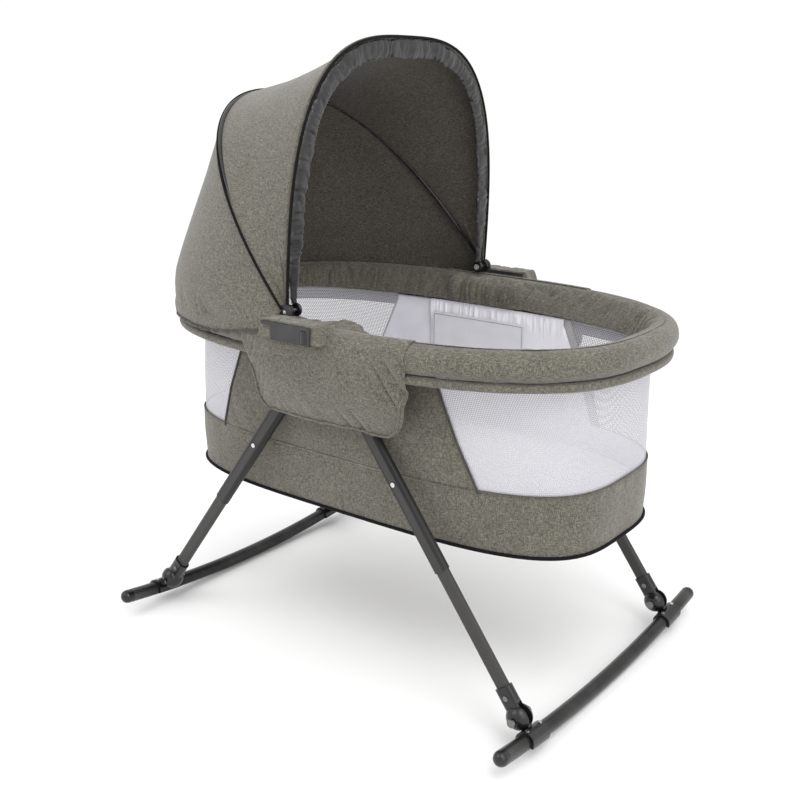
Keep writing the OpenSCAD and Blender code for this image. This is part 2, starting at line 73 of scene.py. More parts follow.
band_low, band_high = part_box("fabric_band_foot")
BASE_Z, BAND_Z = band_low.z, band_high.z
BASE_A, BASE_B = band_high.x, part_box("base_piping")[1].y - 6.4 * MM
BASE_N = 3.6
WALL_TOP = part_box("side_panel_far")[1].z
WALL_A, WALL_B, WALL_N = BASE_A + 4 * MM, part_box("side_panel_far")[1].y, 2.8
FLARE = 180 * MM             # height over which the wall widens
PANEL_LOW, PANEL_HIGH = 275 * MM, 200 * MM     # half length of a side panel, below and above
RIM_LENGTH, BAND_LENGTH = 2.35, 2.2             # once round, in metres, for spacing folds
INNER_SEAM_Z, SKIRT_TOP_Z, SKIRT_LOW_Z = 568 * MM, 560 * MM, 543 * MM
MATTRESS_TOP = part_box("mattress")[1].z

PIVOT = Vector(JOINTS["canopy_fold"]["pos_m"])
MID_TILT, FRONT_TILT = math.radians(-41.9), math.radians(2.8)
# half width, height above the pivot, roundness and tilt of the canopy's two seams
MID_SEAM = (293 * MM, 446 * MM, 2.2, MID_TILT)
FRONT_SEAM = (284.5 * MM, 421 * MM, 3.07, FRONT_TILT)

CAMERA_PLACE, CAMERA_LENS = Vector((1.1255, -1.5321, 0.9934)), 49.13
AZIMUTH, ELEVATION, CAMERA_ROLL = (math.radians(angle) for angle in (36.97, 16.60, 0.58))


# ------------------------ shapes
def superellipse(t, a, b, n):
    """Points of a superellipse at angles t."""
    c, s = np.cos(t), np.sin(t)
    return np.stack([a * np.sign(c) * np.abs(c) ** (2 / n), b * np.sign(s) * np.abs(s) ** (2 / n)], -1)


def even(points, count):
    """count points evenly spaced along a polyline."""
    steps = np.linalg.norm(np.diff(points, axis=0), axis=1)
    along = np.concatenate([[0], np.cumsum(steps)])
    where = np.linspace(0, along[-1], count)
    return np.stack([np.interp(where, along, points[:, k]) for k in range(points.shape[1])], -1)


def oval_arc(a, b, n, t0, t1, count):
    """count points evenly spaced along a superellipse, from angle t0 to t1."""
    return even(superellipse(np.linspace(t0, t1, 6000), a, b, n), count)


def oval(a, b, n, count):
    """count points evenly spaced once round a superellipse."""
    return oval_arc(a, b, n, 0, 2 * math.pi, count + 1)[:-1]


def at_height(plan, z):
    """Plan points lifted to height z, a number or one for each point."""
    return np.column_stack([plan, np.full(len(plan), z)])


def spread(rows, cols, first=0):
    """Two grids: 0 to 1 along the rows, and first to 1 across the columns."""
    return np.meshgrid(np.linspace(0, 1, rows), np.linspace(first, 1, cols), indexing="ij")


def outward(points, closed=False):
    """Unit normals of a plan path that runs counter-clockwise."""
    if closed:
        d = np.roll(points, -1, 0) - np.roll(points, 1, 0)
    else:
        d = np.gradient(points, axis=0)
    d /= np.maximum(np.linalg.norm(d, axis=1, keepdims=True), 1e-12)
    return np.stack([d[:, 1], -d[:, 0]], -1)


def smooth(x, low, high):
    """0 below low, 1 above high, and a smooth step between."""
    t = np.clip((x - low) / (high - low), 0, 1)
    return t * t * (3 - 2 * t)


def bump(x, centre, width):
    """A bell of height 1 about centre."""
    return np.exp(-((x - centre) / width) ** 2)


def noise(p, seed=0):
    """Smooth repeatable noise from -1 to 1 at an array of points (..., 3)."""
    cell = np.floor(p).astype(np.int64)
    f = p - cell
    f = f * f * (3 - 2 * f)

    def corner(dx, dy, dz):
        k = (cell[..., 0] + dx) * 73856093 ^ (cell[..., 1] + dy) * 19349663 ^ (cell[..., 2] + dz) * 83492791
        k = (k ^ seed * 2654435761) & 0x7FFFFFFF
        k = (k ^ (k >> 13)) * 1274126177 & 0x7FFFFFFF
        return ((k >> 7) & 0xFFFF) / 32767.5 - 1

    def mix(a, b, t):
        return a + (b - a) * t

    rows = [mix(mix(corner(0, 0, z), corner(1, 0, z), f[..., 0]),
                mix(corner(0, 1, z), corner(1, 1, z), f[..., 0]), f[..., 1]) for z in (0, 1)]
    return mix(rows[0], rows[1], f[..., 2])


def cloud(p, scale, seed=0, octaves=3):
    """Several layers of noise, for soft unevenness."""
    return sum(noise(p * scale * 2 ** k, seed + k) / 2 ** k for k in range(octaves)) / 1.6


def creases(u, v, seed, octaves=2):
    """Folds that run along v: round ridges with narrow valleys, from -1 to 0."""
    u, v = np.broadcast_arrays(u, v)
    p = np.stack([u, v, np.zeros_like(u)], -1)
    return -sum((1 - np.abs(noise(p * [2 ** k, 1.4 ** k, 1], seed + 7 * k))) ** 3 / 2 ** k for k in range(octaves))


def wall_size(z, inset=0.0):
    """Half length, half width and roundness of the basket's wall at height z."""
    up = np.clip((z - BASE_Z) / (WALL_TOP - BASE_Z), 0, 1)
    out = np.clip((z - BASE_Z) / FLARE, 0, 1)
    return (BASE_A + (WALL_A - BASE_A) * up - inset,
            BASE_B + (WALL_B - BASE_B) * out - inset,
            BASE_N + (WALL_N - BASE_N) * up)


def panel_half(z):
    """Half length of a side panel at height z."""
    return PANEL_LOW + (PANEL_HIGH - PANEL_LOW) * np.clip((z - BAND_Z) / (WALL_TOP - BAND_Z), 0, 1)


def wall_normals(p):
    """Unit normals of a grid of points whose rows go up and whose columns run counter-clockwise."""
    du = np.gradient(p, axis=1)
    dv = np.gradient(p, axis=0)
    n = np.cross(du, dv)
    return n / np.maximum(np.linalg.norm(n, axis=-1, keepdims=True), 1e-12)


def swing(across, up, tilt):
    """Point of an arch in a plane through the canopy's pivot, leaned by tilt towards the foot."""
    return np.stack([PIVOT.x + up * np.sin(tilt), across, PIVOT.z + up * np.cos(tilt)], -1)


def arch(seam, count, low=6 * MM, inward=0.0):
    """count points of a canopy seam from the near side over the top to the far side."""
    w, h, n, tilt = seam
    t0 = math.asin(min(1, (low / (h - inward)) ** (n / 2)))
    flat = oval_arc(w - inward, h - inward, n, math.pi - t0, t0, count)
    return swing(flat[:, 0], flat[:, 1], tilt)


# ------------------------ meshes
def link(name, verts, faces, uvs=None):
    """A smooth mesh object. uvs are in metres, for the netting's holes."""
    mesh = bpy.data.meshes.new(name)
    mesh.from_pydata([tuple(v) for v in verts], [], faces)
    mesh.update()
    if uvs is not None:
        layer = mesh.uv_layers.new(name="cloth")
        order = np.zeros(len(mesh.loops), dtype=np.int32)
        mesh.loops.foreach_get("vertex_index", order)
        layer.data.foreach_set("uv", np.asarray(uvs, float)[order].ravel())
    obj = bpy.data.objects.new(name, mesh)
    bpy.context.collection.objects.link(obj)
    mesh.shade_smooth()
    return obj


def grid(name, points, wrap=False):
    """A sheet from a grid of points (rows, columns, 3). wrap joins the last column to the first."""
    rows, cols = points.shape[:2]
    last = cols if wrap else cols - 1
    faces = [(r * cols + c, r * cols + (c + 1) % cols, (r + 1) * cols + (c + 1) % cols, (r + 1) * cols + c)
             for r in range(rows - 1) for c in range(last)]
    step_u = np.linalg.norm(np.diff(points, axis=1, prepend=points[:, :1]), axis=-1).cumsum(1).mean(0)
    step_v = np.linalg.norm(np.diff(points, axis=0, prepend=points[:1]), axis=-1).cumsum(0).mean(1)
    uvs = np.stack(np.broadcast_arrays(step_u[None, :], step_v[:, None]), -1)
    return link(name, points.reshape(-1, 3), faces, uvs.reshape(-1, 2))


def tube(name, path, radius, sides=10, closed=False):
    """A round tube along a path (count, 3), with its ends closed unless it is a ring."""
    count = len(path)
    if closed:
        d = np.roll(path, -1, 0) - np.roll(path, 1, 0)
    else:
        d = np.gradient(path, axis=0)
    d /= np.linalg.norm(d, axis=1, keepdims=True)
    side = np.cross(d[0], [0.3, 0.2, 1.0])
    rings = []
    for k in range(count):
        side = side - d[k] * (side @ d[k])
        side /= np.linalg.norm(side)
        other = np.cross(d[k], side)
        u = np.linspace(0, 2 * math.pi, sides, endpoint=False)[:, None]
        rings.append(path[k] + radius * (np.cos(u) * side + np.sin(u) * other))
    last = count if closed else count - 1
    faces = [(k * sides + j, k * sides + (j + 1) % sides,
              (k + 1) % count * sides + (j + 1) % sides, (k + 1) % count * sides + j)
             for k in range(last) for j in range(sides)]
    if not closed:
        faces.append(tuple(range(sides))[::-1])
        faces.append(tuple((count - 1) * sides + j for j in range(sides)))
    return link(name, np.concatenate(rings), faces)


def modify(obj, kind, **settings):
    """Makes what one modifier does part of the mesh."""
    added = obj.modifiers.new(kind.lower(), kind)
    for key, value in settings.items():
        setattr(added, key, value)
    graph = bpy.context.evaluated_depsgraph_get()
    graph.update()
    mesh = bpy.data.meshes.new_from_object(obj.evaluated_get(graph), depsgraph=graph)
    obj.modifiers.clear()
    old = obj.data
    obj.data = mesh
    bpy.data.meshes.remove(old)
    obj.data.shade_smooth()


def thicken(obj, thickness):
    """Gives a painted sheet its thickness, with its last material inside."""
    modify(obj, "SOLIDIFY", thickness=thickness, offset=-1.0, material_offset=1, material_offset_rim=1)


def weld(obj, distance=1e-5):
    """Joins vertices that fall in one place."""
    modify(obj, "WELD", merge_threshold=distance)


def close_ring(obj, start, count):
    """Closes a ring of vertices with one face."""
    b = bmesh.new()
    b.from_mesh(obj.data)
    b.verts.ensure_lookup_table()
    b.faces.new([b.verts[start + k] for k in range(count)])
    bmesh.ops.recalc_face_normals(b, faces=b.faces)
    b.to_mesh(obj.data)
    b.free()
    obj.data.shade_smooth()


def paint(obj, *materials):
    """Gives a piece its materials, outer face first."""
    obj.data.materials.clear()
    for m in materials:
        obj.data.materials.append(m)


def trim(obj, material):
    """Finishes a plain piece of the basket."""
    paint(obj, material)
    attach(obj, "basket")


# ------------------------ materials
class Shader:
    """A node tree with short calls for its nodes."""

    def __init__(self, name):
        self.material = bpy.data.materials.new(name)
        self.material.use_nodes = True
        self.tree = self.material.node_tree
        self.tree.nodes.clear()
        self.output = self.tree.nodes.new("ShaderNodeOutputMaterial")
        self.place = self.add("TexCoord").outputs["Object"]

    def add(self, kind, settings=None, **inputs):
        node = self.tree.nodes.new("ShaderNode" + kind)
        for key, value in (settings or {}).items():
            setattr(node, key, value)
        for key, value in inputs.items():
            socket = node.inputs[int(key[1:])] if key[0] == "_" else node.inputs[key.replace("_", " ")]
            if isinstance(value, bpy.types.NodeSocket):
                self.tree.links.new(value, socket)
            else:
                socket.default_value = value
        return node

    def math(self, operation, a, b):
        return self.add("Math", {"operation": operation}, _0=a, _1=b).outputs[0]

    def vector(self, operation, a, b=(0, 0, 0), output=0):
        return self.add("VectorMath", {"operation": operation}, _0=a, _1=b).outputs[output]

    def noise(self, scale, detail, roughness=0.5, stretch=(1, 1, 1)):
        where = self.vector("MULTIPLY", self.place, stretch)
        return self.add("TexNoise", Vector=where, Scale=scale, Detail=detail, Roughness=roughness).outputs[0]

    def ramp(self, value, *stops):
        """stops are (position, colour)."""
        node = self.add("ValToRGB", Fac=value)
        spots = node.color_ramp.elements
        while len(spots) < len(stops):
            spots.new(0.5)
        for spot, (at, colour) in zip(spots, stops):
            spot.position = at
            spot.color = (*colour, 1)
        return node.outputs[0]

    def mix(self, amount, a, b, kind="MIX"):
        node = self.add("Mix", {"data_type": "RGBA", "blend_type": kind}, _0=amount, _6=a, _7=b)
        return node.outputs[2]

    def bump(self, height, strength, distance, normal=None):
        inputs = dict(Height=height, Strength=strength, Distance=distance)
        if normal is not None:
            inputs["Normal"] = normal
        return self.add("Bump", **inputs).outputs[0]

    def surface(self, **inputs):
        bsdf = self.add("BsdfPrincipled", **inputs)
        self.tree.links.new(bsdf.outputs[0], self.output.inputs["Surface"])


def rgb(r, g, b):
    """A colour given as it looks on a screen, 0 to 255."""
    return tuple(((c / 255 + 0.055) / 1.055) ** 2.4 if c > 10 else c / 255 / 12.92 for c in (r, g, b))


def heather(name, dark, middle, light, sheen=0.25, strength=0.5):
    """Melange cloth: flecked threads of three tones in a plain weave."""
    s = Shader(name)
    long_flecks = s.noise(760, 3, 0.6, (1, 1, 0.2))
    cross_flecks = s.noise(760, 3, 0.6, (0.22, 0.22, 1))
    fine = s.noise(1100, 2, 0.6)
    slow = s.noise(14, 2, 0.5)
    flecks = s.math("ADD", s.math("MULTIPLY", long_flecks, 0.5), s.math("MULTIPLY", cross_flecks, 0.5))
    tone = s.math("ADD", flecks, s.math("MULTIPLY", s.math("SUBTRACT", fine, 0.5), 0.45))
    colour = s.ramp(tone, (0.34, dark), (0.50, middle), (0.68, light))
    shade = s.ramp(slow, (0.3, (0.90, 0.90, 0.90)), (0.7, (1.0, 1.0, 1.0)))
    colour = s.mix(1.0, colour, shade, "MULTIPLY")
    weave = s.math("ADD", s.math("MULTIPLY", fine, 0.6), s.math("MULTIPLY", flecks, 0.6))
    soft = s.bump(s.noise(60, 2, 0.5), 0.35, 1.2 * MM)
    normal = s.bump(weave, strength, 0.5 * MM, soft)
    rough = s.math("ADD", s.math("MULTIPLY", fine, 0.12), 0.82)
    s.surface(**{"Base Color": colour, "Roughness": rough, "Normal": normal, "Sheen Weight": sheen,
                 "Sheen Roughness": 0.5, "Specular IOR Level": 0.2})
    return s.material


def plain_cloth(name, dark, light, scale=900, rough=0.8, sheen=0.1, strength=0.3):
    """Close plain weave, such as a sheet or a liner."""
    s = Shader(name)
    fine = s.noise(scale, 2, 0.6)
    slow = s.noise(18, 3, 0.5)
    tone = s.math("ADD", s.math("MULTIPLY", fine, 0.5), s.math("MULTIPLY", slow, 0.5))
    colour = s.ramp(tone, (0.35, dark), (0.62, light))
    soft = s.bump(s.noise(45, 3, 0.5), 0.3, 1.5 * MM)
    normal = s.bump(fine, strength, 0.3 * MM, soft)
    s.surface(**{"Base Color": colour, "Roughness": rough, "Normal": normal, "Sheen Weight": sheen,
                 "Specular IOR Level": 0.25})
    return s.material


def nylon(name, dark, light, rough=0.34):
    """Shiny gathered lining or piping."""
    s = Shader(name)
    fine = s.noise(1400, 2, 0.5)
    slow = s.noise(70, 3, 0.6)
    colour = s.ramp(slow, (0.35, dark), (0.7, light))
    normal = s.bump(fine, 0.2, 0.2 * MM, s.bump(slow, 0.5, 1.5 * MM))
    roughness = s.math("ADD", s.math("MULTIPLY", slow, 0.25), rough - 0.1)
    s.surface(**{"Base Color": colour, "Roughness": roughness, "Normal": normal, "Sheen Weight": 0.3,
                 "Sheen Roughness": 0.3, "Specular IOR Level": 0.6})
    return s.material


def coated_metal(name, dark, light, rough=0.42, metallic=0.6, grain=2200, specular=0.5):
    """Powder-coated tube, a little worn where hands and corners rub."""
    s = Shader(name)
    fine = s.noise(grain, 2, 0.5)
    slow = s.noise(22, 3, 0.6)
    colour = s.ramp(slow, (0.3, dark), (0.75, light))
    edge = s.math("SUBTRACT", s.add("NewGeometry").outputs["Pointiness"], 0.52)
    worn = s.math("MULTIPLY", s.math("MAXIMUM", edge, 0.0), 5.0)
    colour = s.mix(s.math("MINIMUM", worn, 0.5), colour, (*[min(1, c * 3 + 0.05) for c in light], 1))
    roughness = s.math("ADD", s.math("MULTIPLY", slow, 0.18), rough - 0.08)
    s.surface(**{"Base Color": colour, "Roughness": roughness, "Metallic": metallic,
                 "Specular IOR Level": specular, "Normal": s.bump(fine, 0.25, 0.12 * MM)})
    return s.material


def plastic(name, dark, light, rough=0.25, grain=1500, strength=0.1):
    """Moulded plastic, smooth or finely grained."""
    s = Shader(name)
    fine = s.noise(grain, 2, 0.5)
    slow = s.noise(30, 3, 0.6)
    colour = s.ramp(slow, (0.35, dark), (0.7, light))
    roughness = s.math("ADD", s.math("MULTIPLY", slow, 0.2), rough - 0.08)
    s.surface(**{"Base Color": colour, "Roughness": roughness, "Normal": s.bump(fine, strength, 0.15 * MM),
                 "Specular IOR Level": 0.5})
    return s.material


def steel(name, dark=rgb(176, 176, 178), light=rgb(226, 226, 228)):
    """Bare brushed steel."""
    s = Shader(name)
    brushed = s.noise(500, 3, 0.6, (1, 6, 1))
    colour = s.ramp(brushed, (0.35, dark), (0.65, light))
    roughness = s.math("ADD", s.math("MULTIPLY", brushed, 0.2), 0.16)
    s.surface(**{"Base Color": colour, "Metallic": 1.0, "Roughness": roughness,
                 "Normal": s.bump(brushed, 0.1, 0.1 * MM)})
    return s.material


def knitted_mesh(name, thread, pitch=3.6 * MM, hole=0.30):
    """Knitted netting: threads round a close pattern of round holes."""
    s = Shader(name)
    uv = s.add("UVMap", {"uv_map": "cloth"}).outputs[0]
    wide = math.sqrt(3)
    cells = s.vector("MULTIPLY", uv, (1 / pitch, 1 / (pitch * wide), 0))
    distances = []
    for shift in (0.0, 0.5):
        moved = s.vector("ADD", cells, (shift, shift, 0))
        centred = s.vector("SUBTRACT", s.vector("FRACTION", moved), (0.5, 0.5, 0))
        distances.append(s.vector("LENGTH", s.vector("MULTIPLY", centred, (1, wide, 0)), output=1))
    away = s.math("MINIMUM", distances[0], distances[1])
    solid = s.math("GREATER_THAN", away, hole)
    ridge = s.math("MULTIPLY", away, 1.6)
    s.surface(**{"Base Color": (*thread, 1), "Roughness": 0.7, "Sheen Weight": 0.2, "Specular IOR Level": 0.3,
                 "Alpha": solid, "Normal": s.bump(ridge, 0.5, 0.4 * MM)})
    return s.material


HEATHER = heather("heather_cloth", rgb(58, 56, 50), rgb(96, 93, 84), rgb(136, 132, 120))
LINING = heather("dark_heather", rgb(50, 47, 42), rgb(84, 80, 72), rgb(116, 111, 101), sheen=0.15)
PIPING = plain_cloth("black_piping", rgb(5, 5, 5), rgb(13, 12, 12), 1400, 0.9, 0.0)
ELASTIC = nylon("elastic_binding", rgb(40, 37, 34), rgb(66, 61, 56), 0.7)
SATIN = nylon("gathered_satin", rgb(15, 13, 14), rgb(38, 35, 37), 0.34)
LINER = plain_cloth("white_liner", rgb(240, 239, 245), rgb(252, 251, 255), 700)
# back of the side panels: near-white, painted greyer and a little darker than the liner as painted shade from the
# canopy over the head-end strip
SHADED_PANEL_BACK = plain_cloth("panel_back_painted_shade", rgb(228, 227, 236), rgb(242, 241, 247), 900)
PATCH = plain_cloth("blank_patch", rgb(226, 225, 231), rgb(240, 239, 244), 1200)
STITCH = plain_cloth("grey_thread", rgb(120, 119, 124), rgb(140, 139, 144), 1500)
SHEET = plain_cloth("white_sheet", rgb(226, 225, 230), rgb(244, 243, 247), 900)
NETTING = knitted_mesh("white_netting", rgb(188, 187, 193), hole=0.27)
BORDER = knitted_mesh("grey_netting", rgb(188, 186, 186), 3.0 * MM, 0.24)
TUBE = coated_metal("dark_tube", rgb(13, 12, 12), rgb(24, 22, 21), 0.42, 0.0, specular=0.32)
ROCKER = coated_metal("graphite_tube", rgb(34, 34, 34), rgb(56, 56, 55), 0.3, 0.6)
BLACK = plastic("black_plastic", rgb(14, 14, 14), rgb(30, 30, 30), 0.22)
GREY = plastic("grey_plastic", rgb(38, 38, 39), rgb(56, 56, 57), 0.5, 1500, 0.3)
STEEL = steel("bright_steel")
DARK_STEEL = steel("dark_steel", rgb(104, 103, 103), rgb(136, 135, 134))
BOARD = plain_cloth("base_board", rgb(120, 120, 122), rgb(150, 150, 152), 300)

SLOT_MATERIALS = {"heather_fabric": HEATHER, "dark_lining": LINING, "black_piping": PIPING,
                  "black_satin": SATIN, "white_mesh": NETTING, "white_sheet": SHEET, "dark_tube": TUBE,
                  "black_plastic": BLACK, "grey_plastic": GREY, "bright_steel": STEEL, "base_board": BOARD}


def dress_frame():
    """Gives every CAD node the finish of its slot."""
    slots = {p["node"]: p["material_slot"] for p in frame["record"]["subparts"]}
    for name, node in frame["nodes"].items():
        material = SLOT_MATERIALS[slots[name]]
        if name.startswith("rocker_tube"):
            material = ROCKER
        if name.startswith("leg_fasteners"):
            material = DARK_STEEL
        for place in node.material_slots:
            place.material = material
        if not node.material_slots:
            node.data.materials.append(material)


# ------------------------ camera, light and floor
def make_camera():
    """Camera to the right of the foot end's near side, a little above the rim."""
    back = Vector((math.sin(AZIMUTH) * math.cos(ELEVATION), -math.cos(AZIMUTH) * math.cos(ELEVATION),
                   math.sin(ELEVATION)))
    right = Vector((math.cos(AZIMUTH), math.sin(AZIMUTH), 0))
    up = back.cross(right)
    across = right * math.cos(CAMERA_ROLL) + up * math.sin(CAMERA_ROLL)
    upward = up * math.cos(CAMERA_ROLL) - right * math.sin(CAMERA_ROLL)
    data = bpy.data.cameras.new("camera")
    data.lens = CAMERA_LENS
    data.sensor_width = 36
    data.clip_start = 0.05
    camera = bpy.data.objects.new("camera", data)
    bpy.context.collection.objects.link(camera)
    place = Matrix((across, upward, back)).transposed().to_4x4()
    place.translation = CAMERA_PLACE
    camera.matrix_world = place
    bpy.context.scene.camera = camera


def soft_light(name, place, target, size, power):
    """A square area light aimed at a target."""
    data = bpy.data.lights.new(name, "AREA")
    data.shape = "SQUARE"
    data.size = size
    data.energy = power
    light = bpy.data.objects.new(name, data)
    light.location = place
    light.rotation_mode = "QUATERNION"
    light.rotation_quaternion = (Vector(target) - Vector(place)).to_track_quat("-Z", "Y")
    bpy.context.collection.objects.link(light)


def make_studio():
    """Pale round floor, white surroundings and four soft lights."""
    radius, sides = 9.0, 96
    ring = np.linspace(0, 2 * math.pi, sides, endpoint=False)
    verts = [(0, 0, 0)] + [(radius * math.cos(t), radius * math.sin(t), 0) for t in ring]
    faces = [(0, k + 1, (k + 1) % sides + 1) for k in range(sides)]
    floor = link("studio_floor", verts, faces)
    s = Shader("pale_floor")
    tone = s.ramp(s.noise(3, 2), (0.3, (0.975, 0.975, 0.975)), (0.7, (0.99, 0.99, 0.99)))
    s.surface(**{"Base Color": tone, "Roughness": 0.8, "Specular IOR Level": 0.1})
    paint(floor, s.material)
    world = bpy.data.worlds.new("studio")
    world.use_nodes = True
    world.node_tree.nodes["Background"].inputs[0].default_value = (1, 1, 1, 1)
    world.node_tree.nodes["Background"].inputs[1].default_value = 1.02
    bpy.context.scene.world = world
    bpy.context.scene.view_settings.view_transform = "Standard"
    middle = (0, 0, 0.45)
    soft_light("key", (-1.6, -2.6, 3.0), middle, 2.2, 30)
    soft_light("fill", (3.0, -1.2, 1.8), middle, 2.5, 24)
    soft_light("top", (0.2, 0.6, 3.4), middle, 2.5, 12)
    soft_light("front", (1.3, -0.9, 2.3), (0.1, 0.15, 0.5), 1.2, 15)


# ------------------------ basket
def rim_path(count):
    """Closed path of the rim's middle line and its outward normals."""
    plan = oval(RIM_A, RIM_B, RIM_N, count)
    return plan, outward(plan, closed=True)


def rim_cover():
    """The padded roll: cloth puckered across the foam, most of all inside and near the hubs."""
    count, sides = 900, 40
    plan, normal = rim_path(count)
    along = np.arange(count) / count * RIM_LENGTH
    u = np.linspace(0, 2 * math.pi, sides, endpoint=False)
    a, v = np.meshgrid(along, u, indexing="ij")
    x = np.broadcast_to(plan[:, :1], a.shape)
    y = np.broadcast_to(plan[:, 1:], a.shape)
    inner = smooth(-np.cos(v), -0.9, 0.5)
    beside_hub = np.clip(bump(x, 0.02, 0.17) + 0.2, 0, 1) * smooth(y, 0.15, 0.25) + 0.15
    fine = creases(a * 95, v * 0.5, 3)
    wide = creases(a * 38, v * 0.6, 11)
    pucker = (fine * 1.4 + wide * 2.2) * MM * inner * beside_hub
    calm = (noise(np.stack([a * 22, v * 0.9, v * 0], -1), 5) * 0.7
            + fine * 0.35 * (0.3 + 0.7 * inner)) * MM
    r = ROLL + 0.3 * MM + pucker + calm
    points = np.stack([x + normal[:, :1] * r * np.cos(v), y + normal[:, 1:] * r * np.cos(v),
                       RIM_Z + r * np.sin(v)], -1)
    points = np.concatenate([points, points[:1]])
    obj = grid("rim_cover", points, wrap=True)
    weld(obj)
    paint(obj, HEATHER)
    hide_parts("rim_padding_head", "rim_padding_foot")
    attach(obj, "basket")


def taut(circle_r, corner, end, count):
    """Section of cloth drawn from the top of a roll, over a corner if there is one, to its lower seam."""
    first = end if corner is None else corner
    reach, bearing = math.hypot(*first), math.atan2(first[1], first[0]) % (2 * math.pi)
    leave = max(math.pi / 2, bearing - math.acos(min(1, circle_r / reach)))
    turn = np.linspace(math.pi / 2, leave, 30)
    path = np.column_stack([np.cos(turn), np.sin(turn)]) * circle_r
    for point in filter(lambda q: q is not None, (corner, end)):
        path = np.concatenate([path, [point]])
    return even(path, count)


def rim_inner():
    """Puckered cloth from the roll's top down to the wall's seam, drawn over the hub blocks."""
    count, rows = 1400, 40
    plan = rim_path(count)[0]
    low = oval(*wall_size(WALL_TOP, 8 * MM), count)
    drop = INNER_SEAM_Z - RIM_Z
    hub_y, hub_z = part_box("hub_housing_far")[0].y - 3.5 * MM, RIM_Z + 15 * MM
    hub_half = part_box("hub_housing_far")[1].x
    p = np.zeros((rows, count, 3))
    side = np.zeros((count, 2))
    for k in range(count):
        inward = low[k] - plan[k]
        far_in = float(np.linalg.norm(inward))
        side[k] = inward / far_in
        lift = 2 * MM * smooth(-plan[k, 0], 0.2, 0.4)
        line = taut(ROLL + 1.2 * MM, None, (-far_in, drop + lift), rows)
        near_hub = 1 - smooth(abs(plan[k, 0]), hub_half + 4 * MM, hub_half + 46 * MM)
        if near_hub > 0 and abs(plan[k, 1]) > 0.2:
            over = taut(ROLL + 1.2 * MM, (hub_y - RIM_B, hub_z - RIM_Z), (-far_in, drop + lift), rows)
            line = line + (over - line) * near_hub
        for _ in range(6):
            line[1:-1] = (line[:-2] + 2 * line[1:-1] + line[2:]) / 4
        p[:, k, :2] = plan[k] - side[k] * line[:, :1]
        p[:, k, 2] = RIM_Z + line[:, 1]
    n = wall_normals(p)
    n *= np.sign(n[..., 2:].mean())
    v = spread(rows, count)[0]
    along = np.arange(count) / count * RIM_LENGTH + np.zeros((rows, 1))
    x, y = np.abs(p[..., 0]), np.abs(p[..., 1])
    strong = 0.28 + smooth(y, 0.12, 0.2) * 0.9 * bump(x, 0.02, 0.17) + 0.4 * bump(x, 0.37, 0.05)
    lean = v * 0.35
    fine = creases(along * 80 + lean, v * 1.3, 3) * 4.6 * MM
    wide = creases(along * 34 - lean, v * 1.0, 11) * 8.0 * MM
    held = smooth(v, 0.06, 0.4)
    sewn = 0.35 + 0.65 * smooth(1 - v, 0, 0.25)
    out = (fine + wide + 12.2 * MM) * strong * held * sewn + cloud(p, 12, 15) * 1.0 * MM * held
    p = p + n * out[..., None]
    p = np.concatenate([p, p[:, :1]], axis=1)
    obj = grid("rim_inner_cloth", p)
    paint(obj, HEATHER, LINING)
    weld(obj)
    thicken(obj, 0.9 * MM)
    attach(obj, "basket")


def rim_skirt():
    """Welt under the roll, then the strip that joins it to the wall."""
    count = 700
    plan, normal = rim_path(count)
    wall = oval(*wall_size(WALL_TOP, -2.4 * MM), count)
    wobble = cloud(np.stack([plan[:, 0], plan[:, 1], plan[:, 0] * 0], -1), 9, 4) * 2.2 * MM
    fine = creases(np.arange(count) / count * RIM_LENGTH * 60, np.zeros(count), 21) * 0.8 * MM
    rows = []
    for out, z in ((6, 567.5), (12.5, 567.0), (16.0, 565.6), (17.5, 563.0), (17.8, 558.5), (16.6, 555.2),
                   (14.0, 554.4), (11.5, 556.2), (9.5, 559.0)):
        rows.append(at_height(plan + normal * (out * MM + fine[:, None] * 0.3), z * MM))
    welt = np.array(rows)
    outer = plan + normal * 11 * MM
    strip = []
    for k in range(9):
        t = k / 8
        at = outer + (wall - outer) * t ** 0.9
        sag = 2.5 * MM * math.sin(math.pi * t)
        z = SKIRT_TOP_Z + (SKIRT_LOW_Z - SKIRT_TOP_Z) * t - sag
        push = normal * ((wobble + fine)[:, None] * t)
        strip.append(at_height(at + push, z + wobble * t))
    for name, rows in (("rim_welt", welt[::-1]), ("rim_skirt", np.array(strip)[::-1])):
        obj = grid(name, rows, wrap=True)
        paint(obj, HEATHER, LINING)
        thicken(obj, 1.0 * MM)
        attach(obj, "basket")


def wall_grid(z_rows, columns, inset, side=None, end=None, margin=0.0):
    """Points on the wall: a side panel (side) or a window (end), rows upwards, columns counter-clockwise."""
    rows = []
    for z in z_rows:
        a, b, n = wall_size(z, inset)
        half = panel_half(z) + margin
        edge = math.acos((half / a) ** (n / 2))
        if side is not None:
            plan = oval_arc(a, b, n, edge, math.pi - edge, columns)
            plan = plan if side == FAR else -plan
        else:
            plan = oval_arc(a, b, n, -edge, edge, columns)
            plan = plan if end == FOOT else -plan
        rows.append(at_height(plan, z))
    return np.array(rows)


def window(end_name):
    """Netting, drawn a little slack between its seams."""
    end = ENDS[end_name]
    rows, cols = 34, 150
    p = wall_grid(np.linspace(BAND_Z - 4 * MM, WALL_TOP + 10 * MM, rows), cols, 1.0 * MM, end=end, margin=-3 * MM)
    n = wall_normals(p)
    up, across = spread(rows, cols)
    slack = np.sin(math.pi * up) * np.sin(math.pi * across) ** 0.5
    p = p + n * ((cloud(p, 7, 31) * 1.8 * MM - 2.0 * MM) * slack)[..., None]
    obj = grid(f"mesh_window_{end_name}_net", p)
    paint(obj, NETTING)
    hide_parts(f"mesh_window_{end_name}")
    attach(obj, "basket")
    top = wall_grid(np.linspace(WALL_TOP + 6 * MM, WALL_TOP + 14 * MM, 5), cols, 2.6 * MM, end=end)
    trim(grid(f"net_border_{end_name}", top), BORDER)


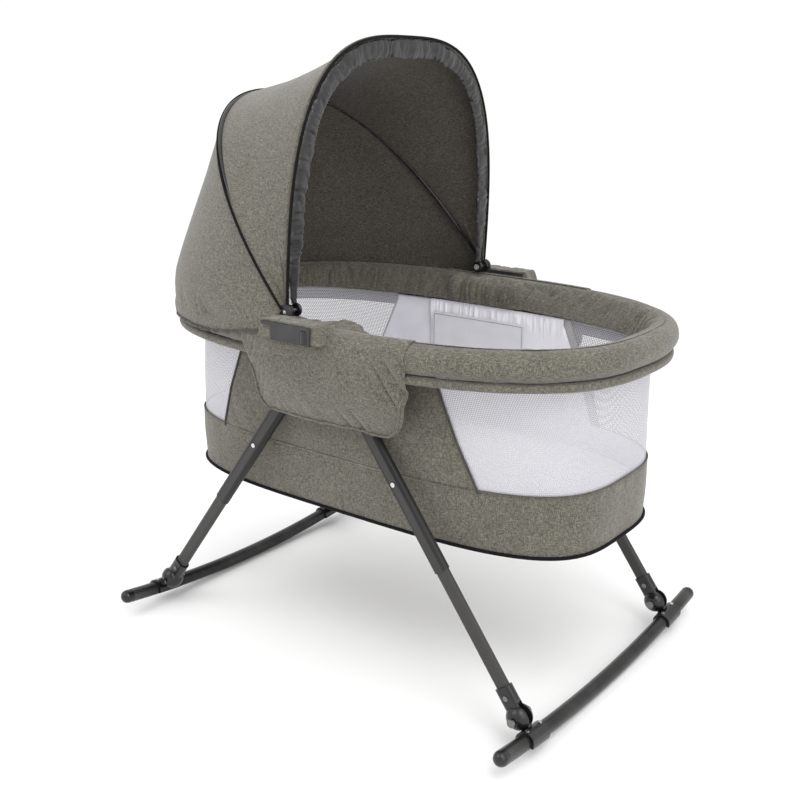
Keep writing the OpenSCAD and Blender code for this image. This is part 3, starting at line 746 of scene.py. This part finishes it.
def side_panel(side_name):
    """Cloth panel with a bound slanted edge at each end, and the liner behind it."""
    side = SIDES[side_name]
    rows, cols = 60, 170
    z_rows = np.linspace(BAND_Z - 5 * MM, WALL_TOP + 9 * MM, rows)
    p = wall_grid(z_rows, cols, -1.0 * MM, side=side)
    n = wall_normals(p)
    up, across = spread(rows, cols, -1)
    x = p[..., 0]
    pull = cloud(p, 8, 41) * 3.2 * MM
    tension = creases((x + (up - 0.5) * 0.12) * 16, up * 0.7, 43) * 3.4 * MM * smooth(np.abs(across), 0.1, 0.8)
    hold = np.sin(math.pi * up) ** 0.5 * smooth(1 - np.abs(across), 0, 0.12) * smooth(1 - up, 0.06, 0.28)
    p = p + n * ((pull + tension + 2.4 * MM) * hold)[..., None]
    obj = grid(f"side_panel_{side_name}_cloth", p)
    # the panel's back face is a little darker than the liner, as painted shade under the canopy
    paint(obj, HEATHER, SHADED_PANEL_BACK)
    thicken(obj, 1.2 * MM)
    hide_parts(f"side_panel_{side_name}")
    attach(obj, "basket")
    for end_name, column in (("a", 0), ("b", -1)):
        line = even(p[:, column] + n[:, column] * 0.8 * MM, 40)
        trim(tube(f"panel_binding_{side_name}_{end_name}", line, 2.1 * MM, 8), ELASTIC)
    liner(side_name, side)


def behind_wall(z_rows, x_left, x_right, cols, inset, side):
    """Points inside a side wall, rows upwards, from x_left to x_right, both functions of height."""
    rows = []
    for z in z_rows:
        a, b, n = wall_size(min(z, WALL_TOP), inset)
        x = np.linspace(x_left(z), x_right(z), cols)
        y = b * (1 - np.abs(x / a) ** n) ** (1 / n)
        rows.append(np.column_stack([x, side * y, np.full(cols, z)]))
    return np.array(rows)


def liner(side_name, side):
    """White cotton behind the panel, shirred under the rim, a strip of netting by its slant, and a blank patch."""
    # the liner stops short of the head end, where the panel's back shows with its painted shade
    left, slant = -118 * MM, 15 * MM
    rows, cols = 70, 240
    z_rows = np.linspace(MATTRESS_TOP - 22 * MM, WALL_TOP + 10 * MM, rows)
    p = behind_wall(z_rows, lambda z: left, lambda z: panel_half(z) - slant, cols, 3.6 * MM, side)
    n = wall_normals(p)
    n = n * np.sign((n[..., 1] * side).mean())
    up = spread(rows, cols)[0]
    shirr = creases(p[..., 0] * 130, up * 1.5, 51) * 2.4 * MM * smooth(up, 0.80, 0.93) * smooth(1 - up, 0, 0.05)
    soft = cloud(p, 9, 53) * 2.4 * MM * np.sin(math.pi * up)
    p = p - n * (np.abs(soft) - shirr + 0.6 * MM)[..., None]
    obj = grid(f"liner_{side_name}", p)
    paint(obj, LINER)
    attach(obj, "basket")
    edge = behind_wall(z_rows, lambda z: panel_half(z) - 16 * MM, lambda z: panel_half(z) + 1 * MM, 8,
                       3.2 * MM, side)
    trim(grid(f"liner_edge_{side_name}", edge), BORDER)
    patch_z = np.linspace(WALL_TOP - 92 * MM, WALL_TOP - 14 * MM, 16)
    patch = behind_wall(patch_z, lambda z: left + 6 * MM, lambda z: 98 * MM, 60, 7.4 * MM, side)
    trim(grid(f"blank_patch_{side_name}", patch), PATCH)
    frame_line = np.concatenate([patch[1, 1:-1], patch[1:-1, -2], patch[-2, -2:0:-1], patch[-2:0:-1, 1]])
    stitch = tube(f"patch_stitch_{side_name}", even(frame_line - [0, side * 0.4 * MM, 0], 260), 0.45 * MM, 6,
                  closed=True)
    trim(stitch, STITCH)


def band():
    """The lower band: a slightly slack strip with a seam at the top, a seam down each side and the hem below."""
    rows, cols = 46, 900
    p = np.array([at_height(oval(*wall_size(z, -1.2 * MM), cols), z) for z in np.linspace(BASE_Z, BAND_Z, rows)])
    normal = np.zeros_like(p)
    for k in range(rows):
        normal[k, :, :2] = outward(p[k, :, :2], closed=True)
    up = spread(rows, cols)[0]
    along = np.arange(cols) / cols * BAND_LENGTH + np.zeros((rows, 1))
    soft = cloud(p * [1, 1, 1.4], 8, 61) * 2.2 * MM
    short = creases(along * 26, up * 1.1, 63) * 1.5 * MM * (bump(up, 0, 0.35) + bump(up, 1, 0.3))
    seam_x = np.abs(p[..., 0] - 0.012)
    seam = -1.3 * MM * bump(seam_x, 0, 3 * MM) - 1.2 * MM * bump(up, 0.97, 0.02)
    hold = smooth(up, 0, 0.08) * smooth(1 - up, 0, 0.05)
    p = p + normal * ((soft + short + 1.0 * MM) * hold + seam)[..., None]
    hem = [at_height(oval(*wall_size(BASE_Z, inset * MM), cols), z * MM)
           for inset, z in ((32.0, 275.0), (6.0, 274.8), (1.0, 275.2))]
    p = np.concatenate([hem, p])
    obj = grid("fabric_band_cloth", p, wrap=True)
    paint(obj, HEATHER, LINING)
    thicken(obj, 1.2 * MM)
    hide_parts("fabric_band_head", "fabric_band_foot")
    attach(obj, "basket")
    seam_line = at_height(oval(*wall_size(BAND_Z, -1.4 * MM), 720), BAND_Z - 0.5 * MM)
    seam_line[:, 2] += cloud(seam_line, 9, 65) * 1.0 * MM
    trim(tube("band_top_seam", seam_line, 1.1 * MM, 8, closed=True), LINING)
    ring = at_height(oval(BASE_A + 2.4 * MM, BASE_B + 2.4 * MM, BASE_N, 360), BASE_Z + 1 * MM)
    cord = tube("base_piping_cord", ring, 3.0 * MM, 10, closed=True)
    paint(cord, PIPING)
    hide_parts("base_piping")
    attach(cord, "basket")
    cover = oval(BASE_A - 30 * MM, BASE_B - 30 * MM, BASE_N, 240)
    rings = [at_height(cover * scale, BASE_Z + 0.6 * MM - 2.2 * MM * (1 - scale) ** 0.5)
             for scale in (1.0, 0.985, 0.9, 0.7, 0.45, 0.2)]
    base = grid("base_cover_cloth", np.array(rings), wrap=True)
    close_ring(base, (len(rings) - 1) * len(cover), len(cover))
    paint(base, LINING)
    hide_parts("base_cover")
    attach(base, "basket")


def band_liner():
    """White cotton inside the band, from under the mattress's top edge to the netting."""
    rows = [at_height(oval(*wall_size(z, 3.4 * MM), 640), z)
            for z in np.linspace(MATTRESS_TOP - 24 * MM, BAND_Z + 1 * MM, 8)]
    trim(grid("band_liner", np.array(rows), wrap=True), LINER)


def mattress():
    """Crowned pad in a white sheet."""
    low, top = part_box("mattress")[0].z, MATTRESS_TOP
    profile = ((0.0, low + 2 * MM), (0.55, low), (0.96, low), (0.992, low + 5 * MM), (1.0, low + 14 * MM),
               (1.0, top - 20 * MM), (0.995, top - 9 * MM), (0.98, top - 3 * MM), (0.955, top), (0.9, top + 1.5 * MM),
               (0.75, top + 3 * MM), (0.5, top + 4 * MM), (0.25, top + 4 * MM), (0.0, top + 4 * MM))
    plan = oval(BASE_A - 11 * MM, BASE_B - 11 * MM, BASE_N, 320)
    dense = []
    for (s0, z0), (s1, z1) in zip(profile, profile[1:]):
        steps = 8 if abs(s1 - s0) > 0.1 else 3
        for k in range(steps):
            t = k / steps
            dense.append((s0 + (s1 - s0) * t, z0 + (z1 - z0) * t))
    dense.append(profile[-1])
    p = np.array([at_height(plan * max(s, 0.002), z) for s, z in dense])
    lift = cloud(p, 14, 71) * 1.3 * MM + creases(p[..., 0] * 18 + p[..., 1] * 9, p[..., 1] * 4, 73) * 0.9 * MM
    p[..., 2] += lift * smooth(p[..., 2], top - 6 * MM, top)
    obj = grid("mattress_sheet", p, wrap=True)
    weld(obj, 1.5 * MM)
    paint(obj, SHEET)
    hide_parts("mattress")
    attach(obj, "basket")


def flap(side_name):
    """Pouch over a hub: it wraps the rim, hangs past it, and has a welt above its rounded lower edge."""
    side = SIDES[side_name]
    x0, x1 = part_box("flap_near")[0].x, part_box("flap_near")[1].x
    rows, cols = 120, 150
    wrap_r = ROLL + 3.0 * MM
    start, turn = math.radians(100), math.radians(-20)
    arc = [(RIM_B + wrap_r * math.cos(u), RIM_Z + wrap_r * math.sin(u)) for u in np.linspace(start, turn, 60)]
    low_y, low_z = 270 * MM, 450 * MM
    end_y, end_z = arc[-1]
    hang = [(end_y + (low_y - end_y) * t ** 1.1, end_z + (low_z - end_z) * t) for t in np.linspace(0, 1, 60)[1:]]
    section = even(np.array(arc + hang), rows)
    v, u = spread(rows, cols, -1)
    # the outline widens over the rim and is rounded below
    top_half, low_half = (x1 - x0) / 2 + 2 * MM, (x1 - x0) / 2 - 6 * MM
    length = np.linalg.norm(np.diff(section, axis=0), axis=1).sum()
    below = (1 - v) * length
    corner = 46 * MM
    rounded = np.where(below < corner, corner - np.sqrt(np.maximum(corner ** 2 - (corner - below) ** 2, 0)), 0)
    half = low_half + (top_half - low_half) * smooth(1 - v, 0.2, 0.7) - rounded
    lean = (v - 0.4) * -26 * MM * smooth(v, 0.3, 1)
    x = (x0 + x1) / 2 + u * half + lean
    follow = RIM_B * (1 - (1 - np.abs(x / RIM_A) ** RIM_N) ** (1 / RIM_N))
    y = section[:, :1] - follow * (1 - 0.6 * smooth(v, 0.5, 1))
    z = section[:, 1:] + np.zeros((1, cols))
    d = np.gradient(section, axis=0)
    d /= np.linalg.norm(d, axis=1, keepdims=True)
    ny, nz = -d[:, 1:], d[:, :1]
    flip = np.sign(ny[rows // 2, 0])
    ny, nz = ny * flip, nz * flip
    edge = 1 - np.abs(u)
    puff = 6.0 * MM * smooth(edge, 0, 0.35) * smooth(v, 0.35, 0.6) * smooth(1 - v, 0, 0.25)
    soft = cloud(np.stack([x, z, y * 0], -1), 11, 81) * 4.0 * MM
    right_top = bump(u, 0.95, 0.26) * smooth(v, 0.05, 0.3) * smooth(0.78 - v, 0, 0.25)
    gather = (creases(x * 62 + z * 30, z * 7, 83) * 8.5 + 2) * MM * right_top
    left = creases(x * 40 - z * 22, z * 5, 85) * 3.4 * MM * bump(u, -0.95, 0.3)
    low = creases(x * 26 + z * 8, z * 6, 87) * 4.4 * MM * smooth(v, 0.66, 0.92) * (0.45 + bump(u, 0.6, 0.4))
    diagonal = -2.6 * MM * bump((u - 0.42) - (0.55 - v) * -0.9, 0, 0.035) * bump(v, 0.5, 0.12)
    out = puff + soft * smooth(v, 0.1, 0.5) + gather + left + low + diagonal
    edge_drop = -2.5 * MM * (1 - smooth(edge, 0, 0.05)) - 2.0 * MM * (1 - smooth(1 - v, 0, 0.03))
    out = out + edge_drop * smooth(v, 0.35, 0.5)
    y = y + ny * out
    z = z + nz * out
    points = np.stack([x, y * side, z], -1)
    obj = grid(f"flap_{side_name}_cloth", points if side == FAR else points[:, ::-1])
    paint(obj, HEATHER)
    thicken(obj, 2.0 * MM)
    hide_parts(f"flap_{side_name}")
    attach(obj, "basket")
    line = []
    for r, c in ([(k, 3) for k in range(62, rows - 4, 2)] + [(rows - 5, k) for k in range(4, cols - 4, 2)]
                 + [(k, cols - 4) for k in range(rows - 6, 62, -2)]):
        line.append(points[r, c] + np.array([0, side * ny[r, 0], nz[r, 0]]) * 1.6 * MM)
    trim(tube(f"flap_{side_name}_welt", even(np.array(line), 220), 1.7 * MM, 8), HEATHER)


def clip_cover(side_name):
    """Fold of the pouch that lies over the clip's plate and tucks in beside it."""
    side = SIDES[side_name]
    low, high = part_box("canopy_bracket_far")
    plate = RIM_Z + ROLL + 11.8 * MM
    rows, cols = 40, 60
    x = np.linspace(low.x - 12 * MM, high.x + 16 * MM, cols)[None, :] + np.zeros((rows, 1))
    y = np.linspace(low.y - 1.5 * MM, high.y - 3 * MM, rows)[:, None] + np.zeros((1, cols))
    over = smooth(x, low.x - 12 * MM, low.x - 1 * MM) * smooth(-x, -high.x - 16 * MM, -high.x - 1 * MM)
    across = smooth(y, low.y - 1.5 * MM, low.y + 6 * MM) * smooth(-y, 3 * MM - high.y, 6 * MM - high.y)
    under = RIM_Z + np.sqrt(np.maximum((ROLL + 1 * MM) ** 2 - (y - RIM_B) ** 2, (8 * MM) ** 2))
    z = under + (plate - under) * np.minimum(over, across)
    z += (1 + creases(x * 60, y * 18, 121)) * 1.6 * MM * np.minimum(over, across)
    points = np.stack([x, side * y, z], -1)
    trim(grid(f"clip_cover_{side_name}", points if side == FAR else points[:, ::-1]), HEATHER)


# ------------------------ canopy
def front_cloth():
    """Cloth drawn between the two bows, sagging a little and tucked in by the pivots."""
    rows, cols = 60, 260
    vv = spread(rows, cols)[0]
    p = arch(MID_SEAM, cols) * (1 - vv[..., None]) + arch(FRONT_SEAM, cols) * vv[..., None]
    centre = np.array([PIVOT.x, 0, PIVOT.z])
    radial = p - centre * [1, 0, 1] - p * [0, 0.35, 0]
    radial /= np.maximum(np.linalg.norm(radial, axis=-1, keepdims=True), 1e-9)
    up = np.linalg.norm((p - centre)[..., ::2], axis=-1)
    sag = -9 * MM * np.sin(math.pi * vv) * smooth(up, 0.05, 0.35)
    soft = cloud(p, 6.5, 91) * 2.4 * MM
    low = smooth(0.16 - up, 0, 0.12)
    tuft = creases(vv * 9, up * 8, 93) * 5 * MM * low
    hold = np.sin(math.pi * vv) ** 0.4
    return p + radial * ((sag + (soft + tuft) * hold)[..., None])


def rear_cloth():
    """Cloth from the middle bow down over the roll, rounded at a shoulder above it and gathered into the hem."""
    rows, cols = 96, 280
    top = arch(MID_SEAM, cols)
    start = math.acos((0.052 / RIM_A) ** (RIM_N / 2))
    plan = oval_arc(RIM_A, RIM_B, RIM_N, math.pi + start, math.pi - start, cols)
    normal = -outward(plan)
    across = np.linspace(0, 1, cols)
    ends = smooth(np.sin(math.pi * across), 0.0, 0.5)
    below = (12 - 25 * ends) * MM
    hem_out = np.sqrt(ROLL ** 2 - below ** 2) + (3 + 6 * (1 - ends)) * MM
    hem = np.column_stack([plan + normal * hem_out[:, None], RIM_Z + below])
    shoulder = np.column_stack([plan + normal * (ROLL - 1 * MM + 5 * MM * ends)[:, None],
                                RIM_Z + (22 + 15 * ends) * MM])
    p = np.zeros((rows, cols, 3))
    bend = np.linspace(0, 1, 24)[:, None]
    for k in range(cols):
        down, under = shoulder[k] - top[k], hem[k] - shoulder[k]
        a = min(40 * MM, np.linalg.norm(down) * 0.5)
        b = np.linalg.norm(under) * 0.85
        first = shoulder[k] - down / np.linalg.norm(down) * a
        last = shoulder[k] + under / np.linalg.norm(under) * b
        turn = first * (1 - bend) ** 2 + shoulder[k] * 2 * bend * (1 - bend) + last * bend ** 2
        p[:, k] = even(np.concatenate([[top[k]], turn, [hem[k]]]), rows)
    vv = spread(rows, cols)[0]
    n = wall_normals(p)
    inside = np.array([-0.2, 0, 0.6])
    n = n * np.sign(((p - inside) * n).sum(-1).mean())
    soft = cloud(p, 6, 101) * 3.0 * MM * np.sin(math.pi * vv) ** 0.5
    gathers = creases(across[None, :] * 80, vv * 2.0, 103) * 3.2 * MM * smooth(vv, 0.84, 0.98)
    folds = creases(across[None, :] * 24 + vv * 3, vv * 1.5, 105) * 5.0 * MM * bump(vv, 0.88, 0.09)
    return p + n * ((soft + gathers + folds * (0.4 + 0.6 * ends[None, :]))[..., None])


def canopy():
    """Both cloths, their bindings and the satin facing, left in place where they are built; the middle seam's piping
    rides on the canopy's middle and the bow ends on its front.
    """

    def soft_front(obj):
        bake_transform(obj)

    def soft_rear(obj):
        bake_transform(obj)

    p = front_cloth()
    cloth = grid("canopy_front_cloth", p[:, ::-1])
    paint(cloth, HEATHER, LINING)
    thicken(cloth, 1.0 * MM)
    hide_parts("canopy_front_shell")
    soft_front(cloth)

    q = rear_cloth()
    cloth = grid("canopy_rear_cloth", q)
    paint(cloth, HEATHER, LINING)
    thicken(cloth, 1.0 * MM)
    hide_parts("canopy_rear_shell")
    soft_rear(cloth)

    binding = tube("canopy_elastic", even(q[-1] + [0, 0, -1 * MM], 260), 3.4 * MM, 10)
    paint(binding, ELASTIC)
    soft_rear(binding)

    seam = arch((MID_SEAM[0] + 1.5 * MM, MID_SEAM[1] + 1.5 * MM, *MID_SEAM[2:]), 220)
    piping = tube("mid_seam_piping", seam, 2.2 * MM, 10)
    paint(piping, PIPING)
    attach(piping, "canopy_middle")

    edge = arch((FRONT_SEAM[0] + 1.0 * MM, FRONT_SEAM[1] + 1.0 * MM, *FRONT_SEAM[2:]), 240)
    for name, shift, r, material in (("front_edge_piping", 0.0, 2.4, PIPING),
                                     ("front_edge_welt", -5.0, 2.8, LINING)):
        line = tube(name, edge + np.array([shift * MM, 0, 0]), r * MM, 10)
        paint(line, material)
        soft_front(line)
    facing(soft_front)
    bow_ends()


def facing(soft_front):
    """Gathered satin sleeve inside the front edge, over the front bow."""
    cols, sides = 620, 20
    w, h, n, tilt = FRONT_SEAM
    mid = arch((w - 17 * MM, h - 17 * MM, n, tilt), cols, low=10 * MM)
    d = np.gradient(mid, axis=0)
    d /= np.linalg.norm(d, axis=1, keepdims=True)
    forward = np.array([math.cos(tilt), 0, -math.sin(tilt)])
    inward = np.cross(d, forward)
    inward *= np.sign((inward * (np.array([PIVOT.x, 0, PIVOT.z + 0.15]) - mid)).sum(1).mean())
    length = 1.16
    along = np.linspace(0, length, cols)
    a, u = np.meshgrid(along, np.linspace(0, 2 * math.pi, sides, endpoint=False), indexing="ij")
    fine = creases(a * 85, u * 0.5, 113) * 3.4 * MM
    wide = noise(np.stack([a * 30, u * 0.6, u * 0], -1), 117) * 2.8 * MM
    taper = (0.45 + 0.55 * smooth(np.minimum(a, length - a), 0, 0.10))
    rad = (16.5 * MM + fine + wide) * taper
    thick = (5.5 * MM + fine * 0.7 + wide * 0.8) * taper
    p = (mid[:, None] + inward[:, None] * (rad * np.cos(u))[..., None]
         + forward * (thick * np.sin(u) - 3.0 * MM)[..., None])
    obj = grid("satin_facing", p, wrap=True)
    paint(obj, SATIN)
    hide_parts("front_bow")
    soft_front(obj)


def bow_ends():
    """Flat black ends of the front bow on their rivets."""
    profile = [(0, 2.5), (9.5, 2.5), (11.0, 1.2), (11.0, -1.2), (9.5, -2.5), (0, -2.5)]
    for side_name, side in SIDES.items():
        disc = lathe_y(f"front_bow_end_{side_name}", profile, (PIVOT.x, side * 264 * MM, PIVOT.z))
        paint(disc, BLACK)
        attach(disc, "canopy_front")


def lathe_y(name, profile, centre, sides=40):
    """A round piece about an axis along Y. profile is (radius, y) in millimetres."""
    verts, faces = [], []
    for r, y in profile:
        for k in range(sides):
            t = 2 * math.pi * k / sides
            verts.append((centre[0] + max(r, 0.01) * MM * math.cos(t), centre[1] + y * MM,
                          centre[2] + max(r, 0.01) * MM * math.sin(t)))
    for j in range(len(profile) - 1):
        for k in range(sides):
            faces.append((j * sides + k, j * sides + (k + 1) % sides,
                          (j + 1) * sides + (k + 1) % sides, (j + 1) * sides + k))
    return link(name, verts, faces)


# ------------------------ the scene
make_camera()
make_studio()
dress_frame()
rim_cover()
rim_inner()
rim_skirt()
for name in ENDS:
    window(name)
for name in SIDES:
    side_panel(name)
    flap(name)
    clip_cover(name)
band()
band_liner()
mattress()
canopy()
